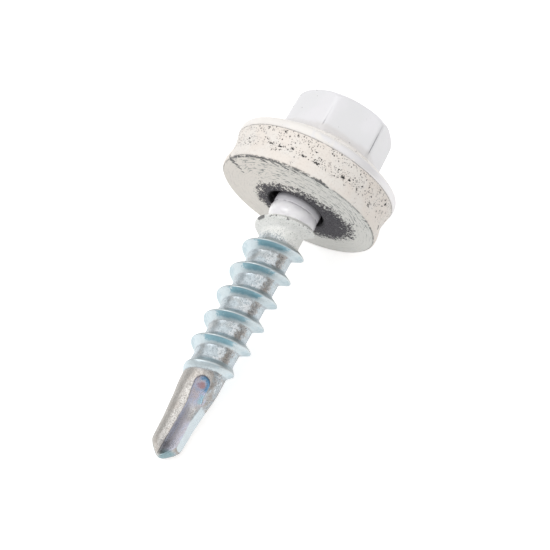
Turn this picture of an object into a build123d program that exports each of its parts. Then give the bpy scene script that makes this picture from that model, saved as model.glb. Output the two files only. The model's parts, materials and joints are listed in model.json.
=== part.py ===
from build123d import *
import os
from math import atan2, cos, degrees, radians, sin, tan

# Self-drilling roofing screw with a captive sealing washer, lying as it rests on a
# flat surface: on the lower edge of the seal and on the heels of the drill point.
# Each piece is first modelled upright on the screw's axis, Z: the flange bears at
# Z = 0, the drill point is up, and +X is the side that lies uppermost. Sizes are in
# millimetres and angles in degrees. A turn is measured from +X towards +Y.

# Hexagon head with its flange, cold-headed in one piece with the shank
across_flats = 8.0
across_corners = 9.0
hex_height = 3.4
hex_draft_angle = 2.5
hex_turn = 2.0
crown_radius = 1.2
dimple_diameter = 4.6
dimple_floor_diameter = 2.6
dimple_depth = 0.35
flange_diameter = 11.0
flange_edge = 0.35
flange_rise = 0.95
flange_hollow = 0.15

# Shank, measured from the flange's bearing face
screw_length = 28.95
neck_diameter = 4.6
neck_length = 5.65
neck_run_out = 0.65
core_diameter = 3.34

# Rolled thread, right-handed
thread_pitch = 2.31
thread_diameter = 5.04
thread_end_diameter = 4.84
thread_angle = 60.0
crest_width = 0.08
thread_turn = 134.0
thread_start = 5.3
thread_fade_in = 1.6
thread_fade_out = 1.3
last_turn_diameter = 4.16
last_crest_width = 0.22
last_turn_fade = 0.65
drill_section_length = 7.25

# Pinched drill point, measured back from its tip
drill_diameter = 2.6
pinched_diameter = 2.72
pinch_start = 6.65
pinch_end = 3.25
point_angle = 92.0
margin_turn = -78.4
margin_distance = 1.21
margin_length = 5.2
heel_cut = 0.036
heel_length = 5.85
run_out_angle = 12.0

# Each of the two flutes, also measured back from the tip: a rounded upper end, a floor
# that sinks as far as the bend and then turns into a steep cutting face
flute_turn = -18.24
flute_end_length = 6.6
flute_end_radius = 0.74
flute_end_depth = 0.37
flute_bend_length = 4.95
flute_bend_width = 1.1
flute_bend_floor = 0.62
flute_heel = 0.2
flute_tip_heel = 0.05
flute_full_length = 2.95
flute_web = 0.2
flute_face_angle = 43.0

# Washer: a steel cap with a rubber seal bonded under it, loose on the neck
washer_clearance = 0.05
steel_diameter = 14.2
steel_thickness = 0.9
steel_hole_diameter = 5.5
steel_flat_diameter = 10.4
steel_dish = 0.3
steel_edge_radius = 0.4
seal_setback = 0.12
seal_waist_depth = 0.22
seal_height = 3.05
seal_hole_diameter = 4.9
seal_lip_height = 0.75
seal_lip_round = 0.3

core_radius = core_diameter / 2
root_radius = 0.9 * core_radius
neck_radius = neck_diameter / 2
thread_radius = thread_diameter / 2
thread_end = screw_length - drill_section_length
drill_radius = drill_diameter / 2
point_height = drill_radius / tan(radians(point_angle / 2))
shoulder = screw_length - point_height
land_lean = (pinched_diameter - drill_diameter) / 2 / (pinch_end - point_height)
heel_distance = drill_radius - heel_cut
steel_rim = steel_diameter / 2
steel_bottom = washer_clearance + steel_dish + steel_thickness
seal_face = steel_bottom + seal_height
seal_radius = steel_rim - seal_setback
seal_hole = seal_hole_diameter / 2
seal_lip = seal_face - seal_lip_round


def turned(profile):
    """Revolve a closed profile, drawn as radius and height, about the axis."""
    return revolve(Plane.XZ * make_face(profile), Axis.Z)


def at_turn(angle, shape):
    """A cutter and its twin on the other side, since the point has two of each."""
    return Rot(0, 0, angle) * shape + Rot(0, 0, angle + 180) * shape


def hexagon_head():
    """Six flats with draft, the corners and crown turned round, and a dimple."""
    top = -flange_edge - flange_rise - hex_height
    hexagon = extrude(
        Plane((0, 0, 0), x_dir=(1, 0, 0), z_dir=(0, 0, -1))
        * RegularPolygon(across_flats / 2, 6, major_radius=False, rotation=-hex_turn),
        -top,
        taper=hex_draft_angle,
    )
    corner = across_corners / 2
    bevel = crown_radius * (1 - sin(radians(45)))
    blank = Polyline(
        (0, 0),
        (0, top + dimple_depth),
        (dimple_floor_diameter / 2, top + dimple_depth),
        (dimple_diameter / 2, top),
        (corner - crown_radius, top),
        (corner - bevel, top + bevel),
        (corner, top + crown_radius),
        (corner, 0),
        close=True,
    )
    return hexagon & turned(blank)


def turned_body():
    """Flange with its hollow slope, neck, core and the cone of the drill point."""
    rim = flange_diameter / 2
    root = across_flats / 2 - flange_rise / 2
    hip = -flange_edge - flange_rise
    middle = ((root + rim) / 2 - flange_hollow, (hip - flange_edge) / 2 + flange_hollow)
    neck_end = neck_length + neck_run_out
    profile = Polyline(
        (0, hip),
        (root, hip),
        middle,
        (rim, -flange_edge),
        (rim, 0),
        (neck_radius, 0),
        (neck_radius, neck_length),
        ((neck_radius + core_radius) / 2 + neck_run_out / 5, neck_end - neck_run_out / 3),
        (core_radius, neck_end),
        (core_radius, screw_length - pinch_start),
        (pinched_diameter / 2, screw_length - pinch_end),
        (drill_radius, shoulder),
        (0, screw_length),
        close=True,
    )
    return turned(profile)


def ridge(crest, crest_flat, start, reach):
    """Helical ridge that follows the screw's lead from a height on, trimmed to a reach."""
    slope = tan(radians(thread_angle / 2))
    foot = crest_flat / 2 + (crest - root_radius) * slope
    section = Polyline(
        (root_radius, -foot), (crest, -crest_flat / 2), (crest, crest_flat / 2), (root_radius, foot), close=True
    )
    turn = thread_turn + 360 * (start - thread_start) / thread_pitch
    path = Helix(thread_pitch, thread_end - start + thread_pitch / 2, core_radius)
    swept = sweep(Plane.XZ * make_face(section), path=path, is_frenet=True)
    return Pos(0, 0, start) * Rot(0, 0, turn) * swept & turned(Polyline(*reach, close=True))


def rolled_thread():
    """Thread at its full height, from where it grows out of the neck."""
    fade = thread_end - thread_pitch - last_turn_fade
    reach = (
        (0, thread_start - thread_pitch),
        (neck_radius - crest_width, thread_start - thread_pitch),
        (neck_radius - crest_width, thread_start),
        (thread_radius, thread_start + thread_fade_in),
        (thread_end_diameter / 2, fade),
        (root_radius, fade + thread_fade_out),
        (0, thread_end),
    )
    return ridge(thread_radius, crest_width, thread_start, reach)


def last_turn():
    """Lower and blunter end of the thread, which fades away above the drill point."""
    crest = last_turn_diameter / 2
    start = thread_end - 2 * thread_pitch
    reach = (
        (0, start),
        (crest, start),
        (crest, thread_end - last_turn_fade),
        (root_radius, thread_end),
        (0, thread_end),
    )
    return ridge(crest, last_crest_width, start, reach)


def flute_section(length, web, angle):
    """Cross-section cut away by a flute: its root, and a face that slopes from there."""
    lean = radians(angle)
    corners = Polyline(
        (web, flute_heel),
        (2 * thread_radius, flute_heel),
        (2 * thread_radius, -thread_radius),
        (web + (thread_radius + flute_heel) * tan(lean), -thread_radius),
        close=True,
    )
    return Pos(0, 0, screw_length - length) * make_face(corners)


def flute():
    """Flute cutter: the floor's sections joined up, inside an outline drawn from above."""
    top = flute_end_length + flute_end_radius
    sections = [
        flute_section(top, core_radius - flute_end_depth, 0),
        flute_section(flute_bend_length, flute_bend_floor, 0),
        flute_section(flute_full_length, flute_web, flute_face_angle),
        flute_section(-flute_end_radius, flute_web, flute_face_angle),
    ]
    floor = loft(sections[:2], ruled=True) + loft(sections[1:3], ruled=True) + loft(sections[2:], ruled=True)
    end = screw_length - flute_end_length
    bend = screw_length - flute_bend_length
    past = screw_length + flute_end_radius
    arch = ThreePointArc(
        (flute_end_radius, end), (0, end - flute_end_radius), (-flute_end_radius, end)
    )
    sides = Polyline(
        (-flute_end_radius, end),
        (-flute_bend_width, bend),
        (-thread_radius, past),
        (flute_tip_heel, past),
        (flute_heel, bend),
        (flute_end_radius, end),
    )
    seen = Plane((0, 0, 0), x_dir=(0, 1, 0), z_dir=(1, 0, 0)) * make_face([arch, sides])
    return floor & extrude(seen, thread_radius)


def flat(distance, length, lean):
    """Block that planes the core down to a flat, with a sloping run-out at its start."""
    run_out = tan(radians(run_out_angle))
    start = screw_length - length
    sloped = start - (core_radius - distance - length * lean) / run_out
    side = Polyline(
        (distance, screw_length),
        (distance + length * lean, start),
        (core_radius, sloped),
        (thread_radius, sloped),
        (thread_radius, screw_length),
        close=True,
    )
    return extrude(Plane.XZ * make_face(side), core_diameter / 2, both=True)


def screw():
    """Head, neck, thread and drill point, all one piece of steel wire."""
    blank = hexagon_head() + turned_body() + last_turn() + rolled_thread()
    margin = flat(margin_distance, margin_length, 0)
    heel = flat(heel_distance - land_lean * point_height, heel_length, land_lean)
    return blank - at_turn(flute_turn, flute()) - at_turn(margin_turn, margin) - at_turn(0, heel)


def steel_washer():
    """Pressed steel cap: flat under the flange, dished towards a rounded rim."""
    hole = steel_hole_diameter / 2
    brim = steel_flat_diameter / 2
    top = washer_clearance
    low = top + steel_dish
    section = make_face(
        Polyline(
            (hole, top),
            (brim, top),
            (steel_rim - steel_edge_radius, low),
            (steel_rim, low + steel_edge_radius),
            (steel_rim, steel_bottom - seal_setback),
            (steel_rim - seal_setback, steel_bottom),
            (brim + steel_edge_radius, steel_bottom),
            (brim, steel_bottom - steel_dish),
            (hole, steel_bottom - steel_dish),
            close=True,
        )
    )
    return revolve(Plane.XZ * section, Axis.Z)


def sealing_washer():
    """Rubber ring bonded under the steel: a faint waist and a rounded lower lip."""
    brim = steel_flat_diameter / 2
    bevel = seal_lip_round * (1 - sin(radians(45)))
    section = Polyline(
        (seal_hole, steel_bottom - steel_dish),
        (brim, steel_bottom - steel_dish),
        (brim + steel_edge_radius, steel_bottom),
        (seal_radius, steel_bottom),
        (seal_radius - seal_waist_depth, (steel_bottom + seal_face - seal_lip_height) / 2),
        (seal_radius, seal_face - seal_lip_height),
        (seal_radius, seal_lip),
        (seal_radius - bevel, seal_face - bevel),
        (seal_radius - seal_lip_round, seal_face),
        (seal_hole, seal_face),
        close=True,
    )
    return turned(section)


def lay_angle():
    """Slope of the axis when the seal's lip and the heel's lower end are on the floor."""
    heel_end = screw_length - heel_distance / tan(radians(point_angle / 2))
    return degrees(atan2(seal_radius - heel_distance, heel_end - seal_lip))


def laid_down(pieces):
    """Lay the pieces over, point towards +X, with the box's bottom centre at the origin."""
    slope = radians(lay_angle())
    axis = Plane((0, 0, 0), x_dir=(sin(slope), 0, cos(slope)), z_dir=(cos(slope), 0, -sin(slope)))
    lying = {name: axis.location * piece for name, piece in pieces.items()}
    box = Compound(list(lying.values())).bounding_box()
    centre = box.center()
    shift = Pos(-centre.X, -centre.Y, -box.min.Z)
    return {name: shift * piece for name, piece in lying.items()}


upright = {
    "screw": screw(),
    "steel_washer": steel_washer(),
    "sealing_washer": sealing_washer(),
}
os.makedirs("parts", exist_ok=True)
for name, piece in laid_down(upright).items():
    piece.label = name
    export_step(piece, f"parts/{name}.step")
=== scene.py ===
# A self-drilling roofing screw with its captive sealing washer, lying as it comes to rest
# on a pale surface: on the lip of the seal and on the heel of the drill point.

import json
import math
import bpy
from mathutils import Matrix, Vector


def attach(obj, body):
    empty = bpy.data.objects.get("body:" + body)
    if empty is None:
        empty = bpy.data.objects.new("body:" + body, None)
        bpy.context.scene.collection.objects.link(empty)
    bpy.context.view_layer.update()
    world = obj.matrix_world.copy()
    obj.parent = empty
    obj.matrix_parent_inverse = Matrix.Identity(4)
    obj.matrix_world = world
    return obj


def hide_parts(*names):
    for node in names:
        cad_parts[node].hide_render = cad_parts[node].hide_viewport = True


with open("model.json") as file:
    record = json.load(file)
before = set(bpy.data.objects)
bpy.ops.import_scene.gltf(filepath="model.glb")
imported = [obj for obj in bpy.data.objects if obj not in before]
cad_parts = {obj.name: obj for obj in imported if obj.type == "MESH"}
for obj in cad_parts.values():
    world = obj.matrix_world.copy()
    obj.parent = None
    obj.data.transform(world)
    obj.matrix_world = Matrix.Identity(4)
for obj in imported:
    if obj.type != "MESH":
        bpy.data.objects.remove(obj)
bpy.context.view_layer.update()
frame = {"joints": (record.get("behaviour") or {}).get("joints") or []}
scene = bpy.context.scene
mm = 0.001

# The screw lies over on its own axis, which runs from the seal's face to the drill point.
# Each piece is made upright on that axis, in millimetres times mm: the seal's face is at
# height 0, the point is up, +Y looks up at the viewer and +X is to the viewer's right.
spin = frame["joints"][0]
axis = Vector(spin["axis"]).normalized()
seal_centre = Vector(spin["pos_m"])
side = Vector((0, 1, 0))
heel_turn = 18.24
turn_to_viewer = math.radians(heel_turn)
toward_viewer = side.cross(axis) * -math.cos(turn_to_viewer) + side * math.sin(turn_to_viewer)
to_right = toward_viewer.cross(axis)
lying = Matrix((to_right, toward_viewer, axis)).transposed().to_4x4()
lying.translation = seal_centre

# Camera. It stands well back, above the screw and a little past its point, so that it
# looks up at the seal's face. Its long lens keeps the perspective faint.
camera_data = bpy.data.cameras.new("camera")
camera_data.sensor_width = 36
camera_data.lens = 402.5
camera_data.clip_start = 0.01
camera_data.clip_end = 10
camera = bpy.data.objects.new("camera", camera_data)
scene.collection.objects.link(camera)
scene.camera = camera
elevation = math.radians(51.27)
azimuth = math.radians(27.88)
stand = Vector(
    (
        math.cos(elevation) * math.cos(azimuth),
        math.cos(elevation) * math.sin(azimuth),
        math.sin(elevation),
    )
)
across = Vector((0, 0, 1)).cross(stand).normalized()
above = stand.cross(across)
camera.location = seal_centre + stand * 500 * mm
aim = seal_centre - across * 1.98 * mm - above * 5.642 * mm
look = (aim - camera.location).to_track_quat("-Z", "Y")
camera.rotation_mode = "QUATERNION"
camera.rotation_quaternion = look @ Matrix.Rotation(math.radians(-0.37), 4, "Z").to_quaternion()

# Sealing ring. EPDM rubber, moulded and vulcanised on to the steel washer above it, and
# painted with it: the paint has pits and rubs through to black round the hole. Its side is
# drawn in a little below the steel and its lower lip is rounded.


def start_clean():
    """Leave edit mode and deselect everything, so that the next operator acts on one piece."""
    if bpy.context.object and bpy.context.object.mode != "OBJECT":
        bpy.ops.object.mode_set(mode="OBJECT")
    bpy.ops.object.select_all(action="DESELECT")
    scene.tool_settings.mesh_select_mode = (True, False, False)


def take(piece):
    """Select one piece, alone, and make it the active one."""
    start_clean()
    piece.select_set(True)
    bpy.context.view_layer.objects.active = piece


def open_ring(radius, height, corners=128):
    """Begin a turned piece: one ring of corners, left selected in edit mode."""
    start_clean()
    bpy.ops.mesh.primitive_circle_add(
        vertices=corners, radius=radius * mm, fill_type="NOTHING", location=(0, 0, height * mm)
    )
    bpy.ops.object.transform_apply(location=True, rotation=True, scale=True)
    bpy.ops.object.mode_set(mode="EDIT")
    bpy.ops.mesh.select_mode(type="VERT")
    bpy.ops.mesh.select_all(action="SELECT")
    piece = bpy.context.object
    piece["ring"] = (radius, height)
    return piece


def draw_ring(piece, radius, height):
    """Extrude the selected ring to a new radius and height, as a cut on a lathe steps on."""
    old_radius, old_height = piece["ring"]
    bpy.ops.mesh.extrude_region_move()
    if radius != old_radius:
        factor = radius / old_radius
        bpy.ops.transform.resize(value=(factor, factor, 1), center_override=(0, 0, old_height * mm))
    bpy.ops.transform.translate(value=(0, 0, (height - old_height) * mm))
    piece["ring"] = (radius, height)


def finish_mesh(piece, name, angle=30):
    """Merge doubles, face outwards, name, and shade smooth up to an angle."""
    bpy.ops.object.mode_set(mode="EDIT")
    bpy.ops.mesh.select_all(action="SELECT")
    bpy.ops.mesh.remove_doubles(threshold=0.0005 * mm)
    bpy.ops.mesh.normals_make_consistent(inside=False)
    bpy.ops.object.mode_set(mode="OBJECT")
    bpy.ops.object.shade_smooth_by_angle(angle=math.radians(angle))
    piece.name = name
    piece.data.name = name
    if "ring" in piece:
        del piece["ring"]


def lay_down(piece, aside=0.0):
    """Turn a finished piece from upright to how the screw lies, with its place in its mesh."""
    take(piece)
    piece.matrix_world = lying @ Matrix.Translation((aside * mm, 0, 0))
    bpy.ops.object.transform_apply(location=True, rotation=True, scale=True)


rubber = open_ring(2.45, -3.35)
for radius, height in (
    (5.2, -3.35), (5.6, -3.05), (6.99, -3.05), (6.985, -2.8), (6.9, -2.4), (6.82, -1.95),
    (6.8, -1.6), (6.86, -1.15), (6.95, -0.8), (6.985, -0.55), (6.98, -0.3), (6.93, -0.12),
    (6.8, -0.01), (6.68, 0.0), (5.6, 0.03), (4.8, 0.11), (4.0, 0.24), (3.2, 0.36), (2.65, 0.41),
    (2.48, 0.37), (2.45, 0.29), (2.45, -3.35),
):
    draw_ring(rubber, radius, height)
finish_mesh(rubber, "rubber_ring", 40)
# the washer is loose on the neck, and has slid to one side
slid = -0.12
lay_down(rubber, slid)


def srgb(red, green, blue):
    """A colour as a screen shows it, 0 to 255, turned into the shader's own scale."""
    return tuple(((c / 255 + 0.055) / 1.055) ** 2.4 for c in (red, green, blue)) + (1,)


class Wire:
    """One socket of a material. Sums written with it add the Math nodes that they need."""

    def __init__(self, finish, socket):
        self.finish = finish
        self.socket = socket

    def math(self, operation, *others):
        """A Math node of one operation on this socket and the others."""
        return self.finish.add("Math", {"operation": operation}, dict(enumerate((self, *others))))

    def __add__(self, other):
        return self.math("ADD", other)

    def __sub__(self, other):
        return self.math("SUBTRACT", other)

    def __rsub__(self, other):
        return self.math("MULTIPLY_ADD", -1.0, other)

    def __mul__(self, other):
        return self.math("MULTIPLY", other)

    def __truediv__(self, other):
        return self.math("DIVIDE", other)

    def __or__(self, other):
        return self.math("MAXIMUM", other)

    def __mod__(self, other):
        return self.math("FLOORED_MODULO", other)

    def __abs__(self):
        return self.math("ABSOLUTE")

    __radd__ = __add__
    __rmul__ = __mul__


class Finish:
    """The surface of one piece: its nodes, and the few things that each surface needs."""

    def __init__(self, name, shelf=bpy.data.materials, shader="Principled BSDF"):
        """A new surface; the shelf is where Blender keeps it, and the shader is what it feeds."""
        self.made = shelf.new(name)
        self.made.use_nodes = True
        self.tree = self.made.node_tree
        self.shader = self.tree.nodes[shader]

    def add(self, kind, settings=None, sockets=None, out=0):
        """Add a node: its type, its settings, then the values or links of its sockets."""
        node = self.tree.nodes.new("ShaderNode" + kind)
        for name, value in (settings or {}).items():
            setattr(node, name, value)
        for name, value in (sockets or {}).items():
            if isinstance(value, Wire):
                self.tree.links.new(value.socket, node.inputs[name])
            else:
                node.inputs[name].default_value = value
        return Wire(self, node.outputs[out])

    def upright(self, aside=0.0):
        """The place of a point on the upright screw, in millimetres from the seal's face."""
        place = self.add("TexCoord", out="Object")
        centre = seal_centre + to_right * aside * mm
        turned = {
            "Vector": place, "Location": centre, "Rotation": lying.to_euler(), "Scale": (mm, mm, mm)
        }
        return self.add("Mapping", {"vector_type": "TEXTURE"}, turned)

    def split(self, vector):
        """The three parts of a vector."""
        first = self.add("SeparateXYZ", {}, {0: vector})
        return [Wire(self, first.socket.node.outputs[i]) for i in range(3)]

    def join(self, x, y, z):
        """A vector of three parts."""
        return self.add("CombineXYZ", {}, {0: x, 1: y, 2: z})

    def stretch(self, vector, by):
        """A vector with each part multiplied by its own factor."""
        return self.add("VectorMath", {"operation": "MULTIPLY"}, {0: vector, 1: by})

    def shift(self, vector, by):
        """A vector moved by another."""
        return self.add("VectorMath", {"operation": "ADD"}, {0: vector, 1: by})

    def fade(self, value, start, end):
        """0 before start and 1 after end, with a soft step between; start may be the larger."""
        steps = {"Value": value, "From Min": start, "From Max": end}
        return self.add("MapRange", {"interpolation_type": "SMOOTHSTEP"}, steps)

    def grain(self, vector, size, detail=2, roughness=0.5):
        """Cloudy variation between 0 and 1, about 0.5, with patches of a size in millimetres."""
        cloud = {"Vector": vector, "Scale": 1 / size, "Detail": detail, "Roughness": roughness}
        return self.add("TexNoise", {}, cloud)

    def cells(self, vector, size, out="Distance"):
        """Scattered points, a size apart on average: the distance to the nearest one."""
        return self.add("TexVoronoi", {}, {"Vector": vector, "Scale": 1 / size}, out)

    def spot(self, vector, place, reach):
        """The distance from a place, where 1 is the edge of a spot that reaches so far."""
        apart = self.add("VectorMath", {"operation": "SUBTRACT"}, {0: vector, 1: place})
        apart = self.add("VectorMath", {"operation": "DIVIDE"}, {0: apart, 1: reach})
        return self.add("VectorMath", {"operation": "LENGTH"}, {0: apart}, "Value")

    def tint(self, mask, under, over):
        """One colour under another, which shows where the mask is 1."""
        return self.add("Mix", {"data_type": "RGBA"}, {0: mask, 6: under, 7: over}, 2)

    def feed(self, **inputs):
        """Link what changes over the surface to the shader."""
        for name, wire in inputs.items():
            self.tree.links.new(wire.socket, self.shader.inputs[name.replace("_", " ")])

    def relief(self, height, depth):
        """Raise the surface by a height between 0 and 1, times a depth in millimetres."""
        bump = self.add("Bump", {}, {"Height": height, "Distance": depth * mm, "Strength": 1.0})
        self.feed(Normal=bump)

    def cover(self, *pieces):
        """Give this surface to pieces."""
        for piece in pieces:
            piece.data.materials.clear()
            piece.data.materials.append(self.made)


seal = Finish("painted_rubber")
at = seal.upright(slid)
x, y, height = seal.split(at)
radius = (x * x + y * y).math("SQRT")
turn = x.math("ARCTAN2", y)
side_radius = 6.85
along_rim = turn * side_radius
rim = seal.join(along_rim, height, radius)
coarse = seal.grain(at, 1.7)
fine = seal.grain(at, 0.16, 3, 0.6)
on_face = seal.fade(height, -0.1, -0.03)
on_side = 1 - on_face
# the paint itself: cream on the side, greener and greyer on the face
side_colour = seal.tint(seal.fade(coarse, 0.35, 0.65), srgb(240, 235, 229), srgb(240, 232, 224))
side_colour = seal.tint(seal.fade(fine, 0.45, 0.75) * 0.5, side_colour, srgb(222, 212, 203))
face_colour = seal.tint(seal.fade(x + coarse * 4, -3, 4), srgb(238, 232, 224), srgb(232, 231, 226))
face_colour = seal.tint(seal.fade(fine, 0.5, 0.8) * 0.45, face_colour, srgb(206, 205, 200))
colour = seal.tint(on_face, side_colour, face_colour)
# pits: two rows of small black holes, fewer between them, and a clean strip above the lip
wander = seal.grain(seal.join(along_rim, 0.0, 0.0), 2.2)
row_top = seal.fade(abs(height + 2.75 + (wander - 0.5) * 0.5), 0.42, 0.1)
row_mid = seal.fade(abs(height + 1.62 + (wander - 0.5) * 1.2), 0.5, 0.12)
open_part = seal.fade(height, -0.75, -1.2) * 0.5
crowd = (row_top | row_mid | open_part) * seal.fade(height, -0.55, -0.9)
chance = seal.split(seal.cells(at, 0.27, "Color"))[0]
pit_size = 0.04 + 0.3 * seal.grain(at, 0.3, 2)
pits = seal.fade(seal.cells(at, 0.27) - pit_size, 0.05, -0.03)
pits = pits * seal.fade(chance - crowd * 0.9, 0.06, -0.04)
specks = seal.fade(seal.cells(at, 0.15), 0.36, 0.16)
specks = specks * seal.fade(seal.grain(at, 0.6, 1) + crowd * 0.32, 0.6, 0.72)
streaks = seal.grain(seal.stretch(rim, (0.55, 1.9, 1)), 0.3, 3, 0.65)
streaks = seal.fade(streaks, 0.66, 0.7) * (row_mid | (row_top * 0.5))
marks = pits | (specks * 0.65) | (streaks * 0.8)
# the outlines of holes and chips are shaken by this much, 0.06 mm on average
shake = 0.12
wobble = seal.stretch(seal.cells(at, 0.12, "Color"), (shake, shake, shake))
shaken = seal.shift(rim, wobble)
# the larger holes: degrees round from the viewer, height, half width, half height
for degrees, level, wide, tall in (
    (-47, -2.85, 0.09, 0.06), (-32, -2.78, 0.12, 0.06), (-63, -1.85, 0.14, 0.07),
    (-39, -1.55, 0.2, 0.07), (-31, -1.45, 0.22, 0.08), (-22, -1.6, 0.11, 0.1),
    (-13, -1.35, 0.2, 0.08), (-3, -1.3, 0.36, 0.09), (18, -1.5, 0.17, 0.17),
    (23, -1.62, 0.12, 0.09), (31, -1.4, 0.09, 0.09), (46, -1.1, 0.14, 0.1),
    (63, -2.5, 0.13, 0.13), (71, -0.8, 0.12, 0.2), (100, -1.5, 0.2, 0.12), (141, -2.2, 0.25, 0.1),
    (-118, -1.3, 0.2, 0.13), (-160, -1.9, 0.3, 0.1),
):
    round_rim = math.radians(degrees) * side_radius
    hole = seal.spot(shaken, (round_rim + shake / 2, level + shake / 2, 6.9), (wide, tall, 9))
    marks = marks | seal.fade(hole, 1.15, 0.75)
marks = marks * on_side
# the lip: paint broken off its edge in a thin line with thicker flakes
flakes = seal.grain(seal.join(along_rim, height * 2, radius * 2), 0.42, 3, 0.7)
thick = seal.fade(x, 2.2, 0.5) * seal.fade(y, 1.0, 3.0)
at_lip = seal.fade(radius, 6.76 - thick * 0.14, 6.8 - thick * 0.06)
at_lip = at_lip * seal.fade(height, -0.1 - thick * 0.08, -0.05)
lip_line = at_lip * seal.fade(flakes, 0.42, 0.5) * (0.6 + thick * 0.4)
face_place = seal.shift(at, wobble)
# the chips on it: place from the axis, half width, half height
for from_x, from_y, wide, tall in (
    (-6.45, 1.65, 0.34, 0.26), (-6.05, 1.3, 0.34, 0.17), (-5.6, 0.95, 0.26, 0.12),
    (-5.2, 0.65, 0.16, 0.08), (-4.1, 5.0, 0.4, 0.13), (-3.3, 5.55, 0.5, 0.11),
    (-2.4, 5.95, 0.45, 0.12), (-1.5, 6.2, 0.4, 0.09), (0.7, 6.75, 0.42, 0.13),
    (1.25, 6.6, 0.26, 0.11), (5.3, 4.1, 0.3, 0.05), (1.0, -6.6, 0.4, 0.09),
):
    chip_place = (from_x + shake / 2, from_y + shake / 2, 0)
    chip = seal.spot(face_place, chip_place, (wide, tall, 0.5))
    lip_line = lip_line | seal.fade(chip + (fine - 0.5) * 1.2, 1.05, 0.85)
# the face: scratches that run round, then the worn black patch with a speckled edge
mid_face = 5.5
scratch_place = seal.join(turn * mid_face, radius, 0.0)
scratches = seal.grain(seal.stretch(scratch_place, (0.5, 3.2, 1)), 0.45, 4, 0.7)
scratched = seal.fade(y, 0.5, 2.5) * seal.fade(radius, 3.6, 4.4)
scratches = seal.fade(scratches, 0.53, 0.61) * (0.15 + scratched * 0.8) * on_face
patch_place = seal.spot(at, (0.72, -0.1, 0), (1, 0.86, 9))
ragged = (seal.grain(at, 1.1) - 0.5) * 1.4 + (seal.grain(at, 0.2, 2, 0.8) - 0.5) * 4
worn = seal.fade(patch_place + ragged, 4.06, 4.0) * on_face
freckles = seal.fade(patch_place + (coarse - 0.5) * 2, 5.0, 4.3) - seal.cells(at, 0.2) * 1.6
worn = worn | (seal.fade(freckles, 0.1, 0.2) * on_face * 0.85)
in_hole = seal.fade(radius, 2.66, 2.56)
roughened = seal.fade(seal.grain(at, 0.11, 2, 0.6), 0.35, 0.65)
bare = seal.tint(roughened, srgb(56, 55, 59), srgb(98, 96, 101))
bare = seal.tint(seal.fade(seal.cells(at, 0.36), 0.16, 0.08) * 0.7, bare, srgb(158, 156, 158))
colour = seal.tint(scratches, colour, srgb(140, 143, 140))
colour = seal.tint(marks, colour, srgb(62, 60, 60))
colour = seal.tint(lip_line * 0.85, colour, srgb(66, 70, 74))
colour = seal.tint(worn, colour, bare)
colour = seal.tint(in_hole, colour, srgb(34, 33, 36))
# the seam against the steel
seam = seal.fade(height, -3.0, -3.03) * seal.fade(flakes, 0.35, 0.5)
colour = seal.tint(seam, colour, srgb(176, 172, 168))
seal.feed(Base_Color=colour, Roughness=0.5 + 0.3 * (worn | marks | scratches))
seal.relief(1 - (marks | lip_line | worn) * 0.7 + fine * 0.16 + coarse * 0.3, 0.07)
seal.shader.inputs["Specular IOR Level"].default_value = 0.35
seal.cover(rubber)
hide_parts("sealing_washer")
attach(rubber, "washer")

# Steel washer. A ring pressed from zinc-coated sheet, flat under the flange and dished to a
# rolled rim, and painted: the rim shows as a thin bright band above the rubber.
steel = open_ring(2.75, -3.35)
for radius, height in (
    (5.2, -3.35), (5.6, -3.05), (6.99, -3.05), (7.08, -3.12), (7.1, -3.2), (7.1, -3.52),
    (7.06, -3.68), (6.97, -3.81), (6.82, -3.91), (6.65, -3.965), (5.3, -4.235), (5.1, -4.25),
    (2.75, -4.25), (2.75, -3.35),
):
    draw_ring(steel, radius, height)
finish_mesh(steel, "steel_cap", 40)
lay_down(steel, slid)

cap = Finish("painted_cap")
at = cap.upright(slid)
x, y, height = cap.split(at)
radius = (x * x + y * y).math("SQRT")
fine = cap.grain(at, 0.18, 3, 0.6)
coarse = cap.grain(at, 1.6)
rubbed = cap.fade(radius, 6.98, 7.08) * cap.fade(cap.grain(at, 1.2, 2) + x * 0.05, 0.4, 0.55)
colour = cap.tint(cap.fade(coarse, 0.35, 0.65), srgb(246, 242, 237), srgb(242, 238, 234))
colour = cap.tint(rubbed, colour, srgb(238, 236, 237))
seam = cap.fade(radius, 5.68, 5.58) | (cap.fade(height, -3.1, -3.06) * cap.fade(fine, 0.3, 0.5))
seam = seam | (cap.fade(abs(radius - 6.9), 0.05, 0.02) * cap.fade(fine + x * 0.03, 0.5, 0.62) * 0.6)
colour = cap.tint(seam * 0.6, colour, srgb(150, 146, 145))
dirt = cap.fade(cap.cells(at, 0.5), 0.14, 0.08) * cap.fade(coarse, 0.5, 0.62)
colour = cap.tint(dirt, colour, srgb(110, 106, 104))
cap.feed(Base_Color=colour, Metallic=rubbed * 0.35, Roughness=0.3 + 0.2 * fine)
cap.relief(coarse * 0.5 + fine * 0.12 - dirt, 0.03)
cap.cover(steel)
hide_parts("steel_washer")
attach(steel, "washer")

# Hexagon. Cold-headed with the shank from one wire, then painted in thick white enamel, which
# has thinned to a grey line low on the corners. Its crown is rounded, with a shallow dimple.
start_clean()
half_flats = 4.0
hexagon_turn = 20.3
bpy.ops.mesh.primitive_cylinder_add(
    vertices=6, radius=half_flats / math.cos(math.radians(30)) * mm, depth=4.4 * mm,
    location=(0, 0, -6.8 * mm), rotation=(0, 0, math.radians(hexagon_turn)),
)
bpy.ops.object.transform_apply(location=True, rotation=True, scale=True)
hexagon = bpy.context.object
bpy.ops.object.mode_set(mode="EDIT")
bpy.ops.mesh.select_mode(type="EDGE")
bpy.ops.mesh.select_all(action="DESELECT")
bpy.ops.object.mode_set(mode="OBJECT")
for edge in hexagon.data.edges:
    low, high = (hexagon.data.vertices[i].co.z for i in edge.vertices)
    edge.select = abs(high - low) > mm
bpy.ops.object.mode_set(mode="EDIT")
bpy.ops.mesh.bevel(offset=0.3 * mm, segments=4)
bpy.ops.mesh.select_mode(type="FACE")
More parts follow.
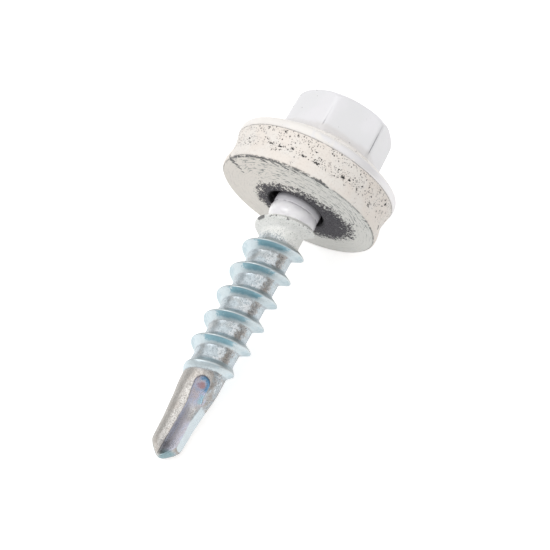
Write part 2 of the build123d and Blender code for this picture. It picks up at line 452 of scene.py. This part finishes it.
bpy.ops.mesh.select_all(action="DESELECT")
bpy.ops.object.mode_set(mode="OBJECT")
for face in hexagon.data.polygons:
    face.select = face.normal.z < -0.9
bpy.ops.object.mode_set(mode="EDIT")
# the flats lean in towards the crown
bpy.ops.transform.resize(value=(0.963, 0.963, 1), center_override=(0, 0, 0))
finish_mesh(hexagon, "hexagon", 30)
crown = open_ring(4.7, -4.4)
for radius, height in (
    (4.7, -5.2), (4.5, -7.85), (4.47, -8.12), (4.34, -8.45), (4.14, -8.7), (3.9, -8.87),
    (3.6, -8.97), (3.3, -9.0), (2.4, -9.0), (2.2, -8.95), (1.5, -8.7), (0.8, -8.6), (0.1, -8.58),
):
    draw_ring(crown, radius, height)
bpy.ops.mesh.select_all(action="DESELECT")
bpy.ops.mesh.select_non_manifold()
bpy.ops.mesh.edge_face_add()
finish_mesh(crown, "crown", 30)


def cut(blank, cutter, operation="DIFFERENCE"):
    """Cut a blank with a cutter, which is then gone."""
    take(blank)
    trim = blank.modifiers.new("cut", "BOOLEAN")
    trim.object = cutter
    trim.operation = operation
    trim.solver = "EXACT"
    bpy.ops.object.modifier_apply(modifier=trim.name)
    bpy.data.objects.remove(cutter)


def forge(blank, coarseness, passes):
    """Give a cut blank the soft edges of forged and plated steel: remesh, then smooth."""
    take(blank)
    remesh = blank.modifiers.new("remesh", "REMESH")
    remesh.mode = "VOXEL"
    remesh.voxel_size = coarseness * mm
    remesh.adaptivity = 0
    bpy.ops.object.modifier_apply(modifier=remesh.name)
    soften = blank.modifiers.new("soften", "SMOOTH")
    soften.factor = 0.5
    soften.iterations = passes
    bpy.ops.object.modifier_apply(modifier=soften.name)
    bpy.ops.object.shade_smooth()


cut(hexagon, crown, "INTERSECT")
forge(hexagon, 0.065, 6)
lay_down(hexagon)

enamel = Finish("white_enamel")
at = enamel.upright()
x, y, height = enamel.split(at)
turn = x.math("ARCTAN2", y)
peel = enamel.grain(at, 0.9)
fine = enamel.grain(at, 0.14, 3, 0.6)
patchy = enamel.grain(at, 2.6)
colour = enamel.tint(enamel.fade(patchy, 0.35, 0.65), srgb(238, 237, 240), srgb(234, 234, 236))
# the corners stand every sixth of a turn; the enamel is thin on their lower parts
sixth = math.radians(60)
from_corner = (turn + math.radians(hexagon_turn + 30)) % sixth
corner_radius = 4.4
from_corner = abs(from_corner - sixth / 2) * corner_radius
corner_line = enamel.fade(from_corner + (fine - 0.5) * 0.1, 0.09, 0.02)
low_part = enamel.fade(height + (peel - 0.5) * 1.5, -8.6, -6.7) * enamel.fade(height, -5.3, -5.75)
corner_line = corner_line * low_part * enamel.fade(patchy, 0.3, 0.6)
colour = enamel.tint(corner_line * 0.8, colour, srgb(138, 138, 144))
# painted shade: the hexagon's foot is darker and warmer where it meets the flange's hollow
foot_shade = enamel.fade(height + (peel - 0.5) * 0.6, -5.95, -5.5)
colour = enamel.tint(foot_shade * 0.35, colour, srgb(205, 199, 194))
stain = enamel.fade(enamel.grain(enamel.stretch(at, (1, 1, 0.4)), 0.5, 4, 0.7), 0.66, 0.74)
colour = enamel.tint(stain * 0.35, colour, srgb(196, 192, 192))
nick = enamel.fade(enamel.cells(at, 0.8), 0.09, 0.05) * enamel.fade(patchy, 0.45, 0.6)
colour = enamel.tint(nick * 0.7, colour, srgb(150, 148, 150))
enamel.feed(Base_Color=colour, Roughness=0.24 + 0.16 * peel + 0.25 * stain)
enamel.relief(peel * 0.5 + fine * 0.05 - nick * 0.5 - corner_line * 0.3, 0.035)
enamel.shader.inputs["Coat Weight"].default_value = 0.25
enamel.shader.inputs["Coat Roughness"].default_value = 0.12
enamel.cover(hexagon)
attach(hexagon, "screw")

# Flange. Headed from the same wire as the hexagon: a thin plate with a hollow slope, under enamel
# that is dark in the gap against the washer; its hollow has painted warm shade.
flange = open_ring(2.3, -4.3)
for radius, height in (
    (5.38, -4.3), (5.47, -4.34), (5.5, -4.42), (5.5, -4.52), (5.47, -4.6), (5.38, -4.67),
    (5.0, -4.83), (4.6, -5.02), (4.2, -5.24), (3.8, -5.5), (3.2, -5.8), (2.3, -5.8), (2.3, -4.3),
):
    draw_ring(flange, radius, height)
finish_mesh(flange, "flange", 45)
lay_down(flange)

plate = Finish("flange_enamel")
at = plate.upright()
x, y, height = plate.split(at)
radius = (x * x + y * y).math("SQRT")
peel = plate.grain(at, 0.8)
fine = plate.grain(at, 0.13, 3, 0.6)
creamier = plate.fade(peel + x * 0.03, 0.35, 0.65)
colour = plate.tint(creamier, srgb(247, 243, 239), srgb(245, 240, 235))
# painted shade and painted reflection: the hollow next to the hexagon is painted darker and warmer
colour = plate.tint(plate.fade(height, -5.0, -5.35) * 0.4, colour, srgb(232, 225, 220))
gap = plate.fade(height, -4.38, -4.32) * plate.fade(fine, 0.3, 0.45)
colour = plate.tint(gap * 0.6, colour, srgb(140, 136, 135))
rub = plate.fade(radius, 5.42, 5.5) * plate.fade(plate.grain(at, 0.35, 3, 0.6), 0.6, 0.68)
colour = plate.tint(rub * 0.6, colour, srgb(176, 172, 172))
plate.feed(Base_Color=colour, Roughness=0.28 + 0.2 * peel)
plate.relief(peel * 0.5 + fine * 0.06 - rub * 0.3, 0.03)
plate.shader.inputs["Coat Weight"].default_value = 0.2
plate.shader.inputs["Coat Roughness"].default_value = 0.15
plate.cover(flange)
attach(flange, "screw")

# Neck. The plain shank under the head, thickened by enamel that ran down it and rounded off
# in a soft bead above the thread. A shallow crease crosses it where the seal rubbed.
neck = open_ring(1.2, -4.6)
for radius, height in (
    (2.0, -4.6), (2.0, 0.5), (1.99, 0.68), (1.975, 0.78), (2.0, 0.9), (2.03, 1.05), (2.04, 1.25),
    (2.02, 1.45), (1.97, 1.62), (1.88, 1.78), (1.76, 1.92), (1.63, 2.02), (1.2, 2.07),
    (1.2, -4.6),
):
    draw_ring(neck, radius, height)
finish_mesh(neck, "neck", 50)
lay_down(neck)

run = Finish("neck_enamel")
at = run.upright()
height = run.split(at)[2]
peel = run.grain(at, 0.7)
fine = run.grain(at, 0.12, 3, 0.6)
colour = run.tint(run.fade(peel, 0.35, 0.65), srgb(250, 249, 251), srgb(243, 241, 245))
# the crease is darkened in colour: painted shade in its groove
crease_and_shade = run.fade(abs(height - 0.78 + (peel - 0.5) * 0.1), 0.09, 0.02)
crease_and_shade = crease_and_shade * run.fade(run.grain(at, 0.9, 1), 0.38, 0.5)
# painted shade: the neck darkens towards the seal's face, and inside the hole it is painted near
# black, as shadow
seal_shade = run.fade(height, 0.82, 0.62)
colour = run.tint(seal_shade * 0.5, colour, srgb(186, 184, 192))
colour = run.tint(crease_and_shade * 0.5, colour, srgb(142, 138, 148))
colour = run.tint(run.fade(height, 0.5, 0.2) * 0.6, colour, srgb(140, 138, 145))
colour = run.tint(run.fade(height, 0.2, -0.1), colour, srgb(42, 41, 45))
smudge = run.fade(run.grain(at, 0.3, 4, 0.65), 0.66, 0.72) * run.fade(height, 1.0, 1.8)
colour = run.tint(smudge * 0.5, colour, srgb(168, 168, 170))
run.feed(Base_Color=colour, Roughness=0.16 + 0.14 * peel + 0.2 * smudge)
run.relief(peel * 0.6 + fine * 0.05 - crease_and_shade * 0.4, 0.04)
run.shader.inputs["Coat Weight"].default_value = 0.4
run.shader.inputs["Coat Roughness"].default_value = 0.06
run.cover(neck)
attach(neck, "screw")

# Thread. Rolled between flat dies into the case-hardened shank, then zinc plated and passed
# blue; the first turn has caught the head's paint. The profile is drawn point by point.
start_clean()
bpy.ops.mesh.primitive_plane_add(size=0.1 * mm)
thread = bpy.context.object
bpy.ops.object.mode_set(mode="EDIT")
bpy.ops.mesh.select_all(action="SELECT")
bpy.ops.mesh.merge(type="CENTER")
pitch = 2.31
core_radius = 1.67
ridge_height = 0.85
bpy.ops.transform.translate(value=(core_radius * mm, 0, -pitch / 2 * mm))
profile = (
    (1.67, -1.155), (1.67, -0.9), (1.67, -0.72), (1.685, -0.6), (1.75, -0.51), (2.1, -0.31),
    (2.44, -0.105), (2.5, -0.05), (2.52, 0.0), (2.5, 0.05), (2.44, 0.105), (2.1, 0.31),
    (1.75, 0.51), (1.685, 0.6), (1.67, 0.72), (1.67, 0.9), (1.67, 1.155),
)
for (r0, h0), (r1, h1) in zip(profile, profile[1:]):
    step = ((r1 - r0) * mm, 0, (h1 - h0) * mm)
    bpy.ops.mesh.extrude_region_move(TRANSFORM_OT_translate={"value": step})
bpy.ops.mesh.select_all(action="SELECT")
first_crest = 1.7555 - pitch
bpy.ops.transform.translate(value=(0, 0, first_crest * mm))
bpy.ops.object.mode_set(mode="OBJECT")
turns = 8.75
lead = thread.modifiers.new("lead", "SCREW")
lead.axis = "Z"
lead.angle = 2 * math.pi * turns
lead.screw_offset = pitch * turns * mm
lead.iterations = 1
lead.steps = lead.render_steps = round(96 * turns)
bpy.ops.object.modifier_apply(modifier=lead.name)
bpy.ops.object.mode_set(mode="EDIT")
bpy.ops.mesh.select_all(action="SELECT")
bpy.ops.mesh.remove_doubles(threshold=0.002 * mm)
for height, outer in ((0.9, False), (17.45, True)):
    bpy.ops.mesh.select_all(action="SELECT")
    bpy.ops.mesh.bisect(
        plane_co=(0, 0, height * mm), plane_no=(0, 0, 1), use_fill=True,
        clear_outer=outer, clear_inner=not outer,
    )
bpy.ops.object.mode_set(mode="OBJECT")
# the ridge rises out of the paint, stands full height, and dies away above the drill point
reach = (
    (-9.0, 2.2), (1.0, 2.24), (2.6, 2.52), (14.44, 2.42), (15.4, 2.1), (16.45, 2.09), (16.8, 1.9),
    (17.05, core_radius), (40, core_radius),
)
for corner in thread.data.vertices:
    height = corner.co.z / mm
    radius = math.hypot(corner.co.x, corner.co.y) / mm
    crest = first_crest + pitch * math.atan2(corner.co.y, corner.co.x) / (2 * math.pi)
    crest += pitch * round((height - crest) / pitch)
    for (h0, r0), (h1, r1) in zip(reach, reach[1:]):
        if h0 <= crest < h1:
            limit = r0 + (r1 - r0) * (crest - h0) / (h1 - h0)
    new = radius
    if radius > core_radius + 0.001:
        new = core_radius + (radius - core_radius) * (limit - core_radius) / ridge_height
    # beyond its end the ridge sinks under the skin of the drill point
    if height > 16.6 and new < 1.68:
        new = min(new, 1.1)
    corner.co.x *= new / radius
    corner.co.y *= new / radius
finish_mesh(thread, "thread", 60)
lay_down(thread)


def zinc_coat(finish, at):
    """Blue-passed zinc: pale and cool, mottled, with fine dark grains and warm clouds."""
    fine = finish.grain(at, 0.09, 3, 0.65)
    mottle = finish.grain(at, 0.3, 3, 0.6)
    cloud = finish.grain(at, 1.1, 2)
    colour = finish.tint(finish.fade(mottle, 0.35, 0.65), srgb(180, 188, 193), srgb(218, 224, 228))
    colour = finish.tint(finish.fade(cloud, 0.48, 0.66) * 0.6, colour, srgb(190, 179, 170))
    grains = finish.fade(fine, 0.53, 0.64) * finish.fade(mottle, 0.66, 0.45)
    colour = finish.tint(grains * 0.7, colour, srgb(122, 122, 124))
    return colour, grains, fine, mottle, cloud


zinc = Finish("zinc_thread")
at = zinc.upright()
x, y, height = zinc.split(at)
radius = (x * x + y * y).math("SQRT")
turn = y.math("ARCTAN2", x)
colour, grains, fine, mottle, cloud = zinc_coat(zinc, at)
# how far a point is beyond the middle of its ridge, towards the drill point
beyond = height - first_crest - turn * (pitch / (2 * math.pi)) + pitch / 2
beyond = beyond % pitch - pitch / 2
on_flank = zinc.fade(abs(beyond), 0.56, 0.46) * zinc.fade(radius, 1.68, 1.76)
# a direction round the axis, shaken by the mottle: 1 at one angle, -1 a quarter turn from there; it
# places the painted reflections
reflection_angle = ((y * y - x * x) * 0.91 - x * y * 0.82) / (radius * radius)
reflection_angle = reflection_angle + (mottle - 0.5) * 1.7 + (fine - 0.5) * 0.7
reflection_side = zinc.fade(x * y + (y * y - x * x) * 0.22, -0.3, 0.3)
# on one side: a painted dark, brownish reflection with dark specks, cooler zinc away from it, and a
# painted highlight beside it
dark_reflection = zinc.fade(abs(reflection_angle), 0.55, 0.25) * reflection_side
colour = zinc.tint((1 - dark_reflection) * 0.45, colour, srgb(184, 198, 204))
colour = zinc.tint(dark_reflection * (0.25 + cloud * 0.7), colour, srgb(172, 164, 156))
colour = zinc.tint(dark_reflection * zinc.fade(fine, 0.5, 0.58) * 0.75, colour, srgb(98, 94, 92))
painted_highlight = zinc.fade(abs(reflection_angle - 0.7), 0.25, 0.1) * reflection_side
colour = zinc.tint(painted_highlight * 0.7, colour, srgb(238, 241, 243))
colour = zinc.tint(zinc.fade(fine, 0.52, 0.62) * 0.4, colour, srgb(136, 146, 153))
colour = zinc.tint(on_flank * 0.75, colour, srgb(206, 218, 222))
# teal on the flank towards the point: partly the blue passivation, partly a painted reflection
# placed by the direction round the axis
teal_and_reflection = zinc.fade(beyond, 0.04, 0.09) * zinc.fade(beyond + (mottle - 0.5) * 0.2, 0.46, 0.3)
teal_and_reflection = teal_and_reflection * (zinc.fade(reflection_angle, 0.2, 0.6) | (zinc.fade(reflection_angle, -0.6, -1.0) * 0.3))
teal_and_reflection = teal_and_reflection * zinc.fade(height, 16.6, 15.6) * on_flank
colour = zinc.tint(teal_and_reflection * (0.55 + cloud * 0.4), colour, srgb(104, 158, 174))
# painted shade: the flank towards the head is darkened, in bands
shade_band_place = {"Vector": zinc.join(0.0, 0.0, beyond), "Scale": 4.2}
shade_bands = zinc.add("TexWave", {"bands_direction": "Z"}, shade_band_place, "Fac")
back_flank_shade = zinc.fade(beyond, 0.0, -0.06) * zinc.fade(beyond, -0.56, -0.4)
colour = zinc.tint(back_flank_shade * (0.1 + shade_bands * 0.4 + mottle * 0.3), colour, srgb(132, 138, 140))
on_crest = zinc.fade(abs(beyond), 0.07, 0.03) * on_flank
colour = zinc.tint(on_crest * 0.6, colour, srgb(198, 205, 206))
root = zinc.fade(abs(abs(beyond) - 0.6), 0.1, 0.03)
colour = zinc.tint(root * 0.35 * zinc.fade(mottle, 0.4, 0.6), colour, srgb(134, 138, 142))
# paint on the first turn, chipped along the crest
painted = zinc.fade(height + (cloud - 0.5) * 1.6 + (fine - 0.5) * 2, 4.15, 3.7)
paint = zinc.tint(zinc.fade(mottle, 0.35, 0.65), srgb(244, 244, 241), srgb(234, 235, 231))
paint = zinc.tint(zinc.fade(fine, 0.55, 0.66) * 0.7, paint, srgb(160, 164, 160))
chips = zinc.fade(zinc.grain(at, 0.28, 3, 0.65), 0.58, 0.63) * zinc.fade(abs(beyond), 0.2, 0.08)
large_chip = zinc.spot(zinc.join(x, y, 0.0), (-2.2, 0.9, 0), (0.5, 0.5, 1))
large_chip = zinc.fade(large_chip + (mottle - 0.5) * 1.5, 1.0, 0.85)
chips = chips | (large_chip * zinc.fade(abs(beyond), 0.22, 0.14))
paint = zinc.tint(chips * 0.85, paint, srgb(70, 70, 72))
colour = zinc.tint(painted, colour, paint)
plated = 1 - painted
zinc.feed(
    Base_Color=colour, Metallic=plated * 0.92,
    Roughness=0.27 + 0.25 * mottle * plated + 0.2 * painted + 0.15 * grains,
)
zinc.relief(mottle * 0.5 + fine * 0.35 + cloud * 0.4 - chips * painted * 0.5, 0.035)
zinc.cover(thread)
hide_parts("screw")
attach(thread, "screw")

# Drill point. Pinched between two dies from the end of the shank and zinc plated with it:
# two flutes a half turn apart, each with a cutting edge, a margin and a heel.
point = open_ring(0.3, 15.8, 96)
for radius, height in (
    (1.655, 15.8), (1.655, 16.3), (1.673, 16.7), (1.673, 17.9), (1.36, 21.4), (1.31, 23.2),
    (1.26, 23.52), (0.99, 23.92), (0.55, 24.37), (0.3, 24.56), (0.1, 24.64), (0.02, 24.65),
):
    draw_ring(point, radius, height)
bpy.ops.mesh.select_all(action="DESELECT")
bpy.ops.mesh.select_non_manifold()
bpy.ops.mesh.edge_face_add()
finish_mesh(point, "drill_point", 30)


def pick(piece, wanted):
    """In edit mode, select the corners of a piece whose place passes a test."""
    bpy.ops.object.mode_set(mode="EDIT")
    bpy.ops.mesh.select_all(action="DESELECT")
    bpy.ops.object.mode_set(mode="OBJECT")
    for corner in piece.data.vertices:
        corner.select = wanted(corner.co / mm)
    bpy.ops.object.mode_set(mode="EDIT")


# the cutting blocks reach well past the tip
past_tip = 26


def flat_cutter(lean, distance, bottom, run_out, turn):
    """A block that planes one flat along the point, up to a run-out at its start."""
    start_clean()
    bpy.ops.mesh.primitive_cube_add(size=1)
    block = bpy.context.object
    bpy.ops.object.mode_set(mode="EDIT")
    bpy.ops.mesh.select_all(action="SELECT")
    bpy.ops.transform.resize(value=(4 * mm, 2 * mm, (past_tip - bottom) * mm))
    bpy.ops.transform.translate(value=(0, (distance + 1) * mm, (past_tip + bottom) / 2 * mm))
    bpy.ops.object.mode_set(mode="OBJECT")
    for corner in block.data.vertices:
        if corner.co.y < (distance + 1) * mm:
            corner.co.y = (distance + lean * (past_tip - corner.co.z / mm)) * mm
        elif corner.co.z < (bottom + 1) * mm:
            corner.co.z -= 2 / math.tan(math.radians(run_out)) * mm
    block.rotation_euler = (0, 0, math.radians(turn))
    bpy.ops.object.transform_apply(location=True, rotation=True, scale=True)
    return block


def flute_floor(x, height):
    """How far the floor of a flute lies from the axis: it sinks, and tilts up to the edge."""
    sunk = 1.3 - 0.283 * (height - 17.3) if height < 19.7 else 0.62 - 0.21 * (height - 19.7)
    part = min(max((height - 18.9) / 2.8, 0), 1)
    tilt = math.radians(43) * part * part * (3 - 2 * part)
    return max(sunk, 0.2) + max(x + 0.2, 0) * math.tan(tilt)


def flute_cutter(turn):
    """The shape that the dies leave: a round upper end, a sinking floor, a steep face."""
    start_clean()
    bpy.ops.mesh.primitive_cube_add(size=1)
    floor = bpy.context.object
    bpy.ops.object.mode_set(mode="EDIT")
    bpy.ops.mesh.select_all(action="SELECT")
    bpy.ops.transform.resize(value=(3.4 * mm, 3.6 * mm, 9.1 * mm))
    bpy.ops.transform.translate(value=(0.9 * mm, 3.1 * mm, 20.85 * mm))
    for step in range(1, 30):
        bpy.ops.mesh.select_all(action="SELECT")
        bpy.ops.mesh.bisect(plane_co=(0, 0, (16.3 + step * 0.3) * mm), plane_no=(0, 0, 1))
    for across_flute in (-0.23, 0.13, 0.43, 0.73, 1.03, 1.33, 1.63):
        bpy.ops.mesh.select_all(action="SELECT")
        bpy.ops.mesh.bisect(plane_co=(across_flute * mm, 0, 0), plane_no=(1, 0, 0))
    bpy.ops.object.mode_set(mode="OBJECT")
    for corner in floor.data.vertices:
        if corner.co.y < 2 * mm:
            corner.co.y = flute_floor(corner.co.x / mm, corner.co.z / mm) * mm
    start_clean()
    bpy.ops.mesh.primitive_circle_add(vertices=48, radius=0.65 * mm, rotation=(math.pi / 2, 0, 0))
    bpy.ops.object.transform_apply(location=True, rotation=True, scale=True)
    mouth = bpy.context.object
    # the upper half of the circle goes, and its two ends are drawn out towards the tip
    pick(mouth, lambda at: at.z > 0.01)
    bpy.ops.mesh.delete(type="VERT")
    bpy.ops.mesh.select_all(action="SELECT")
    bpy.ops.transform.translate(value=(0.1 * mm, 0, 17.9 * mm))
    pick(mouth, lambda at: at.z > 17.89)
    for longer in (1.05, 0.8, 5.55):
        bpy.ops.mesh.extrude_region_move(TRANSFORM_OT_translate={"value": (0, 0, longer * mm)})
    bpy.ops.mesh.edge_face_add()
    bpy.ops.object.mode_set(mode="OBJECT")
    for corner in mouth.data.vertices:
        if corner.co.z > 25 * mm:
            corner.co.x = (2.5 if corner.co.x > 0 else -0.37) * mm
        elif corner.co.z > 19.5 * mm:
            corner.co.x = (1.06 if corner.co.x > 0 else -0.25) * mm
        elif corner.co.z > 18.5 * mm:
            corner.co.x = (0.76 if corner.co.x > 0 else -0.41) * mm
    bpy.ops.object.mode_set(mode="EDIT")
    bpy.ops.mesh.select_all(action="SELECT")
    bpy.ops.mesh.edge_face_add()
    bpy.ops.mesh.extrude_region_move(TRANSFORM_OT_translate={"value": (0, 4 * mm, 0)})
    finish_mesh(mouth, "mouth")
    cut(floor, mouth, "INTERSECT")
    floor.rotation_euler = (0, 0, math.radians(turn))
    bpy.ops.object.transform_apply(location=True, rotation=True, scale=True)
    return floor


for half_turn in (0, 180):
    for cutter in (
        flute_cutter(half_turn),
        flat_cutter(0, 1.21, 19.45, 12, -60.16 + half_turn),
        flat_cutter(0.0301, 1.185, 19.6, 7, heel_turn + half_turn),
    ):
        cut(point, cutter)
forge(point, 0.04, 7)
lay_down(point)

drill = Finish("zinc_point")
at = drill.upright()
x, y, height = drill.split(at)
colour, _, fine, mottle, cloud = zinc_coat(drill, at)
# both halves are alike: a half turn brings the far one to the near side
near = y.math("SIGN")
x, y = x * near, abs(y)
# lands: bare-looking and grainy, warmer than the rest
sand = drill.grain(at, 0.1, 3, 0.75)
land = drill.fade(height, 16.7, 17.4) * drill.fade(x, 0.9, 0.5)
off_land = 1 - land
scribble = drill.fade(abs(drill.grain(at, 0.3, 2) - 0.5), 0.035, 0.01)
scribble = scribble * drill.fade(mottle, 0.4, 0.55) * off_land
colour = drill.tint(scribble * 0.8, colour, srgb(96, 96, 98))
warm = drill.fade(mottle + (cloud - 0.5), 0.45, 0.6) * off_land
colour = drill.tint(warm * 0.6, colour, srgb(160, 152, 145))
colour = drill.tint(drill.fade(sand, 0.52, 0.62) * off_land * 0.6, colour, srgb(104, 101, 100))
colour = drill.tint(land * 0.85, colour, srgb(226, 222, 217))
colour = drill.tint(land * drill.fade(sand, 0.46, 0.6) * 0.75, colour, srgb(140, 135, 130))
colour = drill.tint(land * drill.fade(cloud, 0.5, 0.62) * 0.3, colour, srgb(170, 160, 150))
outer_land = land * drill.fade(x + (mottle - 0.5) * 0.5, -0.7, -1.0)
colour = drill.tint(outer_land * 0.5, colour, srgb(158, 154, 149))
# flutes: smooth, between lilac and blue, with painted reflections: red-brown and blue at the upper
# end, cyan by the edge, paler towards the tip
floor_line = (1.3 - 0.24 * (height - 17.3)) | 0.2
tilt = drill.fade(height, 18.9, 21.7) * 0.93
in_flute = drill.fade(abs(y - floor_line - (x + 0.2) * tilt), 0.16, 0.07)
in_flute = in_flute * drill.fade(x, -0.78, -0.7) * drill.fade(x - (height - 17.9) * 0.22, 0.9, 0.74)
in_flute = in_flute * drill.fade(height, 16.6, 16.75) * drill.fade(height, 24.3, 23.9)
streaky = drill.grain(drill.stretch(at, (1, 1, 0.3)), 0.25, 3, 0.6)
streaky = drill.fade(streaky + (cloud - 0.5) * 0.5, 0.38, 0.62)
flute_colour = drill.tint(streaky, srgb(186, 192, 216), srgb(192, 184, 190))
flute_colour = drill.tint(drill.fade(sand, 0.5, 0.62) * 0.35, flute_colour, srgb(140, 138, 146))
# painted reflected light: the flute is painted paler towards the tip
flute_colour = drill.tint(drill.fade(height, 19.0, 20.5) * 0.5, flute_colour, srgb(226, 228, 240))
from_front = drill.join(x, 0.0, height)
# painted reflection: a red-brown patch below the flute's upper end
brown_reflection = drill.spot(from_front, (0.2, 0.0, 17.95), (0.42, 1, 0.34))
brown_reflection = drill.fade(brown_reflection + (mottle - 0.5) * 1.8, 1.2, 0.4)
flute_colour = drill.tint(brown_reflection * 0.7, flute_colour, srgb(152, 104, 102))
# painted reflection: blue on the steep wall of the flute's upper end
from_arch = drill.spot(from_front, (0.1, 0.0, 17.9), (1, 1, 1))
blue_arch_reflection = drill.fade(from_arch + (mottle - 0.5) * 0.4, 0.3, 0.5)
blue_arch_reflection = blue_arch_reflection * drill.fade(height + (mottle - 0.5), 18.7, 18.0)
blue_arch_reflection = blue_arch_reflection * drill.fade(x + (mottle - 0.5) * 0.4, -0.4, 0.1)
flute_colour = drill.tint(blue_arch_reflection * 0.9, flute_colour, srgb(86, 136, 172))
# painted reflection: a cyan patch by the cutting edge
cyan_reflection = drill.spot(from_front, (0.66, 0.0, 19.0), (0.24, 1, 0.55))
cyan_reflection = drill.fade(cyan_reflection + (mottle - 0.5) * 1.6, 1.1, 0.5)
flute_colour = drill.tint(cyan_reflection * 0.7, flute_colour, srgb(150, 196, 210))
colour = drill.tint(in_flute, colour, flute_colour)
# the margin behind each cutting edge is burnished and painted pale as a highlight, the tip a little
# oiled
margin_and_highlight = drill.fade(abs(x * 0.867 + y * 0.498), 1.165, 1.195) * drill.fade(height, 19.3, 19.6)
margin_and_highlight = margin_and_highlight * (1 - in_flute)
colour = drill.tint(margin_and_highlight * 0.85, colour, srgb(197, 208, 213))
at_tip = drill.fade(height, 23.75, 24.1) * drill.fade(x, -0.4, 0.1)
colour = drill.tint(at_tip * 0.9, colour, srgb(122, 150, 156))
# painted shadow: a dark speckled patch on the flute by the tip
tip_shadow = drill.spot(from_front, (0.0, 0.0, 23.6), (0.5, 1, 0.6))
tip_shadow = drill.fade(tip_shadow + (sand - 0.5) * 7, 1.0, 0.6) * (1 - margin_and_highlight)
colour = drill.tint(tip_shadow * 0.7, colour, srgb(96, 96, 102))
smooth = in_flute | margin_and_highlight | at_tip
drill.feed(
    Base_Color=colour,
    Metallic=0.93 - tip_shadow * 0.4 - in_flute * (0.4 + drill.fade(height, 18.8, 20.5) * 0.3),
    Roughness=0.4 + 0.15 * sand - 0.2 * smooth + 0.1 * tip_shadow,
)
drill.relief((mottle * 0.3 + fine * 0.3 + sand * 0.5) * (1 - smooth * 0.85) + cloud * 0.25, 0.035)
drill.cover(point)
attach(point, "screw")

# The surface it lies on: a wide white sheet, which keeps a faint shadow. It looks white by
# itself to the camera and in the metal, so that no lamp has to overlight the screw.
start_clean()
bpy.ops.mesh.primitive_plane_add(size=3)
sheet = bpy.context.object
sheet.name = "white_sheet"
paper = Finish("white_paper")
weave = paper.grain(paper.add("TexCoord", out="Object"), 0.002, 2)
paper.feed(Base_Color=paper.tint(weave, srgb(238, 238, 238), srgb(242, 242, 242)))
paper.shader.inputs["Roughness"].default_value = 0.9
paper.shader.inputs["Specular IOR Level"].default_value = 0.0
seen = paper.add("LightPath", out="Is Camera Ray") | paper.add("LightPath", out="Is Glossy Ray")
paper.feed(Emission_Color=paper.tint(seen, (0, 0, 0, 1), (0.5, 0.5, 0.5, 1)))
paper.shader.inputs["Emission Strength"].default_value = 1
paper.cover(sheet)

# Studio light: a white tent, brighter overhead than round the horizon, which gives the metal
# something to reflect, and one large soft lamp from the left. Behind the screw it is white.
tent = Finish("studio", bpy.data.worlds, "Background")
scene.world = tent.made
upward = tent.split(tent.add("TexCoord", out="Generated"))[2]
level = {"Value": upward, "From Min": 0.25, "From Max": 0.72, "To Min": 0.42, "To Max": 1.0}
level = tent.add("MapRange", {"interpolation_type": "SMOOTHSTEP"}, level)
tent.feed(Strength=tent.add("LightPath", out="Is Camera Ray") | level)
tent.shader.inputs["Color"].default_value = (1, 1, 1, 1)


def soft_lamp(name, place, size, power):
    """A square soft lamp that faces the screw."""
    lamp = bpy.data.lights.new(name, "AREA")
    lamp.size = size
    lamp.energy = power
    holder = bpy.data.objects.new(name, lamp)
    scene.collection.objects.link(holder)
    holder.location = place
    holder.rotation_mode = "QUATERNION"
    holder.rotation_quaternion = (seal_centre - holder.location).to_track_quat("-Z", "Y")


soft_lamp("left_lamp", stand * 0.35 - across * 0.35 + above * 0.2, 0.3, 0.7)
scene.view_settings.view_transform = "Standard"
